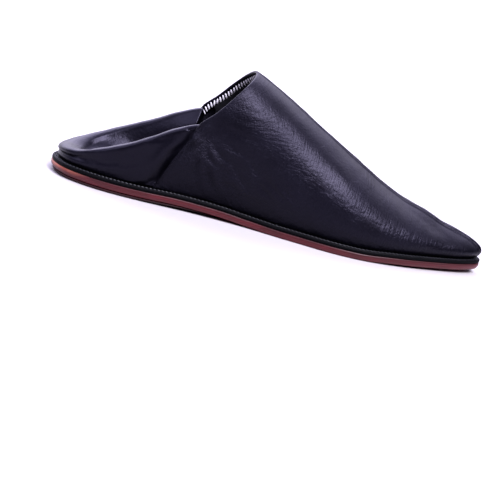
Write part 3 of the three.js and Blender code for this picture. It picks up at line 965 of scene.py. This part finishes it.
# %% Fold lines
FOLD = table("x ridge roll tuck crease reach slide drop", """
4  18.6 6.4 0   2.2 20  24 0.3
8  19.6 6.0 0   2.0 19  25 0.3
15 21.6 4.9 0.1 1.5 15  26 0.6
28 26.8 3.7 0.3 0.6 11  26 2
42 33.4 3.2 0.7 0.1 9   21 6
60 42.6 2.7 1.3 0   8   12 15
74 50.8 2.5 1.4 0   7.5 4  23
86 56.0 2.4 1.5 0   7.5 -3 28
98 58.5 2.4 1.6 0   7.5 -6 31""")
TUCK_HEIGHT = 14.0
QUARTER_LIFT = 0.4
FOLD_STEPS = 9
EDGE_ROUND = np.array([0.3, 0.6, 0.85, 1.0])


def stand_out(x, height):
    t = np.minimum(height / belly(x), 1)
    return swell(x) * (1 - (1 - t) ** 2)


def fold_stops(feet, into):
    """Stops of every fold line at once: how far in from the foot, how far along the shoe, how high."""
    x = feet[:, 0]
    names = ("ridge", "roll", "tuck", "crease", "reach", "slide", "drop")
    ridge, half_roll, tuck, crease, reach, slide, drop = (column(FOLD, "x", n)(x) for n in names)
    half = WALL / 2
    base, top = foot_height(x) + QUARTER_LIFT, ridge - half
    shoulder = top - half_roll * 0.42
    dent = base + (shoulder - base) * 0.68

    def wall_in(height):
        return half + tuck * blend(height - base, 0, TUCK_HEIGHT) - stand_out(x, height - base)

    roll_in = wall_in(shoulder)
    edge_x = x + into[:, 0] * reach + slide
    edge_z = insole_top(edge_x) + half + drop
    flap_top = np.maximum(top - half_roll * 0.7, edge_z + (top - edge_z) * 0.3)
    none = np.zeros_like(x)
    stops = [
        (wall_in(base), none, base),
        (wall_in((base + dent) / 2), none, (base + dent) / 2),
        (wall_in(dent) + crease, none, dent),
        (roll_in, none, shoulder),
        (roll_in + half_roll * 0.32, none, top - half_roll * 0.12),
        (roll_in + half_roll, none, top),
        (roll_in + half_roll * 1.75, slide * 0.04, top - half_roll * 0.2),
        (np.maximum(roll_in + half_roll * 2.05, 0), slide * 0.12, flap_top),
        (reach, slide * 0.5, edge_z + (flap_top - edge_z) * 0.35),
        (reach, slide, edge_z),
    ]
    lines = [np.stack([x + into[:, 0] * i + on, feet[:, 1] + into[:, 1] * i, up], axis=1)
             for i, on, up in stops]
    return np.stack(lines, axis=1)


half_way = OUTLINE_POINTS // 2
along_side = np.flatnonzero(foot_line[:half_way, 0] <= QUARTER_FRONT)
order = np.concatenate([along_side[:0:-1], (OUTLINE_POINTS - along_side) % OUTLINE_POINTS])
fold_lines = through(fold_stops(foot_line[order], inward[order]), FOLD_STEPS)
ending = unit(fold_lines[:, -1] - fold_lines[:, -2])
extra = fold_lines[:, -1:] + ending[:, None] * EDGE_ROUND[None, :, None]
quarter_grid = np.concatenate([fold_lines, extra], axis=1)
print("quarter grid", quarter_grid.shape[:2])


# %% [markdown]
# The quarter follows the vamp down the side seam in a valley. Its lip is pressed down on the near
# side of the heel, with a small pit beside it, and the wall swells over the welt at the back.

# %% Quarter mesh
FOLD_CREASES = table("x0 z0 x1 z1 bow width depth", """
60 41 70 45   1.0 1.3 0.30
70 34 79 44   1.6 1.8 0.26
76 24 80 38   1.2 1.5 0.40
30 18 46 24   1.4 1.8 0.30
44 20 62 31   1.8 2.2 0.35""")

VALLEY_DEPTH = 2.2
VALLEY_SHOULDER = 1.5
HEEL_ROLL = 0.9
HEEL_ROLL_HEIGHT = 12.5
PIT_PLACE = (21, -24, 21)
PIT_WIDTH = 5.5
PIT_DEPTH = 1.8
PRESS = 0.13

row = np.arange(quarter_grid.shape[1])
past_full = np.concatenate([np.zeros(len(row) - len(EDGE_ROUND)), EDGE_ROUND])
rounded = np.sqrt(np.maximum(1 - past_full ** 2, 0.01)) * WALL / 2
outer_wall = 1 - blend(row, 3.6 * FOLD_STEPS, 4.6 * FOLD_STEPS)
points, faces, half_thick, wall_part, feet = weld_grid(quarter_grid, rounded, outer_wall, row == 0)
normal = normals_of(points, faces)
widest = np.argmin(points[:, 1] + 100 * (np.abs(points[:, 2] - 20) > 2))
if normal[widest, 1] > 0:
    faces = faces[:, ::-1]
    normal = -normal

x, y, z = points.T
behind_seam = -from_side_seam(x, z)
beside = VALLEY_SHOULDER * bell(behind_seam - 7.5, 3.0) * (1 - blend(z, 36, 47))
valley = (beside - VALLEY_DEPTH * bell(behind_seam, 3.4)) * wall_part
pull = crease_depth(x, z, FOLD_CREASES) * wall_part * blend(np.abs(y), 8, 16)
drape = 0.22 * unevenness(points, 24, 7) + 0.08 * unevenness(points, 11, 8)
heel_roll = HEEL_ROLL * bell(z - HEEL_ROLL_HEIGHT, 2.2) * (1 - blend(x, 14, 36)) * wall_part
away = blend(z - foot_height(x), 0.5, 5)
points = points + normal * ((valley + pull + drape + heel_roll) * away)[:, None]

from_pit = np.linalg.norm(points - PIT_PLACE, axis=1)
points[:, 2] -= PIT_DEPTH * bell(from_pit, PIT_WIDTH) * (1 - wall_part)
press = PRESS * blend(-y, 3, 12) * blend(x, 3, 18) * (1 - blend(x, 24, 84))
points[:, 2] -= np.maximum(points[:, 2] - foot_height(x), 0) * press
quarter_points, quarter_faces = shell(points, faces, half_thick, half_thick, feet)
quarter = add_piece("quarter", quarter_points, quarter_faces, quarter_skin)
set_uv(quarter, throat_map(quarter_points))


# %% [markdown]
# ## Outsole, welt, insole and lift
#
# The sole is cut from flat stock with a knife, then its edges are rubbed round. A plate is a stack of
# rings with a skin of strips over and under. The welt is a hoop with an open middle.

# %% Plates and hoops
SHARP_EDGE = 50
CAP_STRIPS = 14


def plate(rings, dish):
    """Rings from the top's edge to the bottom's, closed by a slightly dished top and a flat bottom."""
    count = len(rings[0])
    points = [np.concatenate(rings)]
    ids = np.arange(len(rings) * count).reshape(len(rings), count)
    faces = [grid_faces(np.concatenate([ids, ids[:, :1]], axis=1))]
    half = count // 2
    for level, depth in ((rings[0], dish), (rings[-1], 0.0)):
        near, far = level[:half + 1], level[(count - np.arange(half + 1)) % count]
        t = np.linspace(0, 1, CAP_STRIPS + 1)[None, :, None]
        cap = near[:, None] * (1 - t) + far[:, None] * t
        cap[..., 2] -= depth * (1 - (2 * t[..., 0] - 1) ** 2) * blend(np.abs(far - near)[:, 1:2], 4, 30)
        start = sum(len(p) for p in points)
        points.append(cap.reshape(-1, 3))
        faces.append(grid_faces(start + np.arange(cap.shape[0] * cap.shape[1]).reshape(cap.shape[:2])))
        if level is rings[-1]:
            faces[-1] = faces[-1][:, ::-1]
    return np.concatenate(points), np.concatenate(faces)


def closed_plate(name, rings, finish, dish=0.0):
    points, faces = weld(*plate(rings, dish))
    return add_piece(name, points, outward_faces(points, faces), finish, SHARP_EDGE)


def edge_map(made, base):
    """The way along the shoe, and the height above the piece's own underside."""
    co = np.array([v.co for v in made.data.vertices]) / MM + (LENGTH / 2, 0, 0)
    set_uv(made, np.stack([co[:, 0] + np.abs(co[:, 1]), co[:, 2] - base(co[:, 0])], axis=1))


# %% Outsole and heel lift
OUTSOLE_EDGE = table("in up", """
0.55 4.40
0.22 4.32
0.05 4.05
0.00 3.60
0.02 2.60
0.10 2.05
0.28 1.70
0.70 1.00
1.10 0.45
1.70 0.05
2.30 0.00""")
outsole = closed_plate("outsole_leather", [
    ring(i, lambda x, up=up: under(x) + up) for i, up in zip(*OUTSOLE_EDGE.values())], sole_skin)
edge_map(outsole, under)

LIFT_FRONT = 108.0
LIFT_EDGE = 0.3


def lift_ring(distance, share):
    """A ring of the heel lift: share 0 is its top, share 1 its underside."""
    points = outline + inward * distance
    near = points[:half_way][points[:half_way, 0] < LIFT_FRONT - 0.5]
    near = np.vstack([near, [LIFT_FRONT, near[-1, 1], 0]])
    far = near[:0:-1] * (1, -1, 1)
    whole = np.vstack([near, far])
    top = under(whole[:, 0]) - GAP
    low = np.minimum(lift_under(whole[:, 0]), top - LIFT_EDGE)
    whole[:, 2] = top + (low - top) * share
    return whole


LIFT_RINGS = table("in share", """
1.8 0.00
1.5 0.12
1.6 0.40
2.2 0.80
2.8 1.00""")
lift = closed_plate("heel_lift_leather", [
    lift_ring(i, share) for i, share in zip(*LIFT_RINGS.values())], lift_skin)
edge_map(lift, lift_under)

# %% Welt and insole
WELT_SECTION = table("in up", """
6.30 0.00
0.35 0.00
0.14 0.25
0.08 0.80
0.10 1.50
0.30 1.95
0.65 2.17
1.00 2.20
1.30 2.06
1.60 2.20
2.30 2.20
2.65 2.06
3.00 2.20
6.30 2.20""")
welt_rings = [ring(i, lambda x, up=up: outsole_top(x) + GAP + up)
              for i, up in zip(*WELT_SECTION.values())]
ids = np.arange(len(welt_rings) * OUTLINE_POINTS).reshape(len(welt_rings), OUTLINE_POINTS)
ids = np.concatenate([ids, ids[:, :1]], axis=1)
welt_points, welt_faces = np.concatenate(welt_rings), grid_faces(ids, wrap=True)
welt = add_piece("welt_strip", welt_points, outward_faces(welt_points, welt_faces), welt_strip,
                 SHARP_EDGE)

INSOLE_IN = LEDGE + WALL + 2 * GAP
INSOLE_EDGE = table("in down", """
1.20 0.00
0.50 0.12
0.12 0.50
0.00 1.00
0.00 4.40""")
insole = closed_plate("insole_leather", [
    ring(INSOLE_IN + i, lambda x, down=down: insole_top(x) - down)
    for i, down in zip(*INSOLE_EDGE.values())], insole_skin, dish=0.5)


# %% [markdown]
# ## Stitches
#
# Stitches repeat along a path, which is work for Geometry Nodes. The tree takes a path whose
# points know which way the leather faces. It divides the path evenly, sets one short thread on
# each point, turns it to the path and leans it, then makes the threads real.

# %% Stitch tree
def stitch_tree():
    tree = bpy.data.node_groups.new("stitches", "GeometryNodeTree")
    kinds = {"Path": "Geometry", "Spacing": "Float", "Length": "Float", "Thickness": "Float",
             "Lean": "Float", "Unevenness": "Float", "Seed": "Int", "Thread": "Material"}
    for name, kind in kinds.items():
        tree.interface.new_socket(name, in_out="INPUT", socket_type="NodeSocket" + kind)
    tree.interface.new_socket("Stitches", in_out="OUTPUT", socket_type="NodeSocketGeometry")

    given = add_node(tree, "NodeGroupInput").outputs
    curve = add_node(tree, "GeometryNodeMeshToCurve", {"Mesh": given["Path"]})
    spots = add_node(tree, "GeometryNodeResampleCurve", {
        "Curve": curve, "Length": given["Spacing"]}, mode="LENGTH")
    facing = add_node(tree, "GeometryNodeInputNamedAttribute", {"Name": "facing"},
                      data_type="FLOAT_VECTOR")
    along = add_node(tree, "GeometryNodeInputTangent")
    upright = add_node(tree, "FunctionNodeAlignRotationToVector", {"Vector": facing}, axis="Z")
    turned = add_node(tree, "FunctionNodeAlignRotationToVector", {
        "Rotation": upright, "Vector": along}, axis="X", pivot_axis="Z")
    sway = add_node(tree, "FunctionNodeRandomValue", {"Seed": given["Seed"]}, data_type="FLOAT")
    centred = add_node(tree, "ShaderNodeMath", {0: sway.outputs["Value"], 1: 0.5},
                       operation="SUBTRACT")
    swayed = add_node(tree, "ShaderNodeMath", {
        0: centred, 1: given["Unevenness"], 2: given["Lean"]}, operation="MULTIPLY_ADD")
    angle = add_node(tree, "ShaderNodeCombineXYZ", {"Z": swayed})
    lean = add_node(tree, "FunctionNodeRotateRotation", {
        "Rotation": turned, "Rotate By": angle}, rotation_space="LOCAL")
    ball = add_node(tree, "GeometryNodeMeshUVSphere", {"Segments": 8, "Rings": 6, "Radius": 0.5})
    size = add_node(tree, "ShaderNodeCombineXYZ", {
        "X": given["Length"], "Y": given["Thickness"], "Z": given["Thickness"]})
    strand = add_node(tree, "GeometryNodeTransform", {"Geometry": ball, "Scale": size})
    smooth = add_node(tree, "GeometryNodeSetShadeSmooth", {"Geometry": strand})
    placed = add_node(tree, "GeometryNodeInstanceOnPoints", {
        "Points": spots, "Instance": smooth, "Rotation": lean})
    real = add_node(tree, "GeometryNodeRealizeInstances", {"Geometry": placed})
    finished = add_node(tree, "GeometryNodeSetMaterial", {
        "Geometry": real, "Material": given["Thread"]})
    add_node(tree, "NodeGroupOutput", {"Stitches": finished})
    return tree


STITCHES = stitch_tree()


def sew(name, paths, sizes):
    """Run stitches along paths, each a pair of points and facings, and give back one plain mesh."""
    mesh = bpy.data.meshes.new(name + "_path")
    points = np.concatenate([path for path, _, _ in paths])
    edges, start = [], 0
    for path, _, closed in paths:
        count = len(path)
        edges += [(start + i, start + (i + 1) % count) for i in range(count if closed else count - 1)]
        start += count
    mesh.from_pydata(place(points).tolist(), edges, [])
    facings = np.concatenate([facing for _, facing, _ in paths])
    layer = mesh.attributes.new("facing", "FLOAT_VECTOR", "POINT")
    layer.data.foreach_set("vector", facings.astype(np.float32).ravel())
    source = add_object(name + "_path", mesh)
    modifier = source.modifiers.new("stitches", "NODES")
    modifier.node_group = STITCHES
    sockets = {item.name: item.identifier for item in STITCHES.interface.items_tree
               if item.in_out == "INPUT"}
    for label, value in sizes.items():
        modifier[sockets[label]] = value
    ready = source.evaluated_get(bpy.context.evaluated_depsgraph_get())
    stitched = add_object(name, bpy.data.meshes.new_from_object(ready))
    source.modifiers.clear()
    bpy.data.objects.remove(source)
    print(name, len(stitched.data.polygons), "faces")
    return stitched


# %% [markdown]
# ### White whip stitches inside the collar
#
# Round the inside of the collar the lining is whipped to the turned hem. The thread crosses the
# hem's edge at a slant and shows as a row of small white bars, from one side of the throat to the
# other. At the throat's corners the path lies deeper, so that no stitch comes out through the vamp.

# %% Whip stitches
CORNER_DEPTH = 0.9
upper_rows = slice(vamp_rows.side - 1, None)
hem_line = near_grid[HEM_LINES][upper_rows]
hem_normal = near_normals[HEM_LINES][upper_rows]
at_corner = 1 - blend(row_number[upper_rows], vamp_rows.side, vamp_rows.side + 5)
depth = (2 * roll[upper_rows] + 0.05 + CORNER_DEPTH * at_corner)[:, None]
near_path = hem_line - hem_normal * depth
path = np.vstack([near_path, near_path[-2::-1] * (1, -1, 1)])
facing = -np.vstack([hem_normal, hem_normal[-2::-1] * (1, -1, 1)])
whip = sew("whip_stitches", [(path, facing, False)],
           {"Spacing": 2.3 * MM, "Length": 4.3 * MM, "Thickness": 1.3 * MM,
            "Lean": math.radians(62), "Unevenness": 0.25, "Seed": 5, "Thread": white_linen})

# %% [markdown]
# ### Black stitches on the welt
#
# Two rows of waxed thread run round the welt, each lying in a shallow channel.

# %% Welt stitches
CHANNELS = (1.3, 2.65)
level = np.tile([0.0, 0.0, 1.0], (OUTLINE_POINTS, 1))
welt_thread = sew("welt_stitches", [(ring(i, welt_top), level, True) for i in CHANNELS],
                  {"Spacing": 2.6 * MM, "Length": 2.2 * MM, "Thickness": 0.75 * MM,
                   "Lean": math.radians(12), "Unevenness": 0.15, "Seed": 9, "Thread": black_waxed})


# %% [markdown]
# ## Riding on the frame
#
# The slipper is leather throughout, so all of it is one body. Each finished piece rides on that
# body, and the imported node that it stands for is hidden. The slot name listed with each piece is
# not used.

# %% Bodies and replaced nodes
for made, slot, nodes in (
        (vamp, "upper_leather", ["upper"]), (quarter, "upper_leather", ["upper"]),
        (lining, "insole_leather", ["upper"]), (outsole, "sole_leather", ["outsole"]),
        (lift, "lift_leather", ["heel_lift"]), (welt, "welt_leather", ["welt"]),
        (insole, "insole_leather", ["insole"]), (whip, "upper_leather", []),
        (welt_thread, "welt_leather", [])):
    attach(made, "root")
    if nodes:
        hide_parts(*nodes)
print("pieces ride on root")


# %% [markdown]
# ## Floor and light
#
# A wide pale floor fills the view. Black leather is drawn by what it reflects, so the light matters
# more than its colour. A broad soft box stands overhead, towards the toe, and a weaker one lights
# the lip of the heel. The room is bright on the far side and dark on the near side, with a tall
# panel high up behind the shoe: the panel draws the band of light along the vamp, and the dark
# side keeps the near wall nearly black. The heel's end of the room is the brighter one.

# %% Floor
FLOOR_SIZE = 60.0
FLOOR_DROP = 0.05
FLECK_PITCH = 1000 / 3

floor_finish, tree, spot = new_finish("matt_paper_floor")
flecks = add_node(tree, "ShaderNodeTexNoise", {
    "Vector": spot, "Scale": 1000 / FLECK_PITCH, "Detail": 2.0})
paper = add_node(tree, "ShaderNodeValToRGB", {"Fac": flecks},
                 stops=[(0.3, "#b1afae"), (0.7, "#b6b4b3")])
matt = add_node(tree, "ShaderNodeBsdfPrincipled", {
    "Base Color": paper, "Roughness": 0.7, "IOR": 1.4})
add_node(tree, "ShaderNodeOutputMaterial", {"Surface": matt})

corner, low = FLOOR_SIZE / 2, -FLOOR_DROP * MM
floor_mesh = bpy.data.meshes.new("floor")
floor_mesh.from_pydata([(-corner, -corner, low), (corner, -corner, low),
                        (corner, corner, low), (-corner, corner, low)], [], [(0, 1, 2, 3)])
floor_mesh.materials.append(floor_finish)
floor = add_object("floor", floor_mesh)

# %% Light
for name, strength, width, tint, towards in (
        ("overhead_box", 5.6, 34, "#f5f2ff", (0.33, -0.45, 0.83)),
        ("heel_fill", 1.1, 40, "#eeebff", (-0.62, -0.38, 0.68))):
    lamp = add_object(name, bpy.data.lights.new(name, "SUN"))
    lamp.data.energy = strength
    lamp.data.angle = math.radians(width)
    lamp.data.color = colour(tint)[:3]
    lamp.rotation_euler = Vector(towards).to_track_quat("Z", "Y").to_euler()

room = bpy.data.worlds.new("studio_room")
room.use_nodes = True
bpy.context.scene.world = room
tree = room.node_tree
tree.nodes.clear()

direction = add_node(tree, "ShaderNodeTexCoord").outputs["Generated"]
split = add_node(tree, "ShaderNodeSeparateXYZ", {"Vector": direction}).outputs
behind = add_node(tree, "ShaderNodeValToRGB", {"Fac": split["Y"]},
                  stops=[(0.0, "#3c3b4a"), (0.25, "#605e72"), (0.6, "#e6e2f4")])
overhead = add_node(tree, "ShaderNodeValToRGB", {"Fac": split["Z"]},
                    stops=[(0.35, "#000000"), (0.8, "#a29fb8")])
far_and_high = add_node(tree, "ShaderNodeMath", {0: split["Y"], 1: split["Z"]},
                        operation="MULTIPLY")
panel = add_node(tree, "ShaderNodeValToRGB", {"Fac": far_and_high},
                 stops=[(0.18, "#000000"), (0.42, "#d8d2f4")])
panel_light = add_node(tree, "ShaderNodeVectorMath", {0: panel, "Scale": 2.4}, operation="SCALE")
room_light = add_node(tree, "ShaderNodeVectorMath", {0: behind, 1: overhead}, operation="ADD")
all_light = add_node(tree, "ShaderNodeVectorMath", {0: room_light, 1: panel_light},
                     operation="ADD")
heel_share = add_node(tree, "ShaderNodeMapRange", {
    "Value": split["X"], "From Min": -0.35, "From Max": 0.35, "To Min": 1.7, "To Max": 0.68})
sky = add_node(tree, "ShaderNodeVectorMath", {0: all_light, "Scale": heel_share},
               operation="SCALE")
glow = add_node(tree, "ShaderNodeBackground", {"Color": sky, "Strength": 1.0})
add_node(tree, "ShaderNodeOutputWorld", {"Surface": glow})
bpy.context.scene.view_settings.view_transform = "Standard"
bpy.context.scene.view_settings.look = "Medium High Contrast"
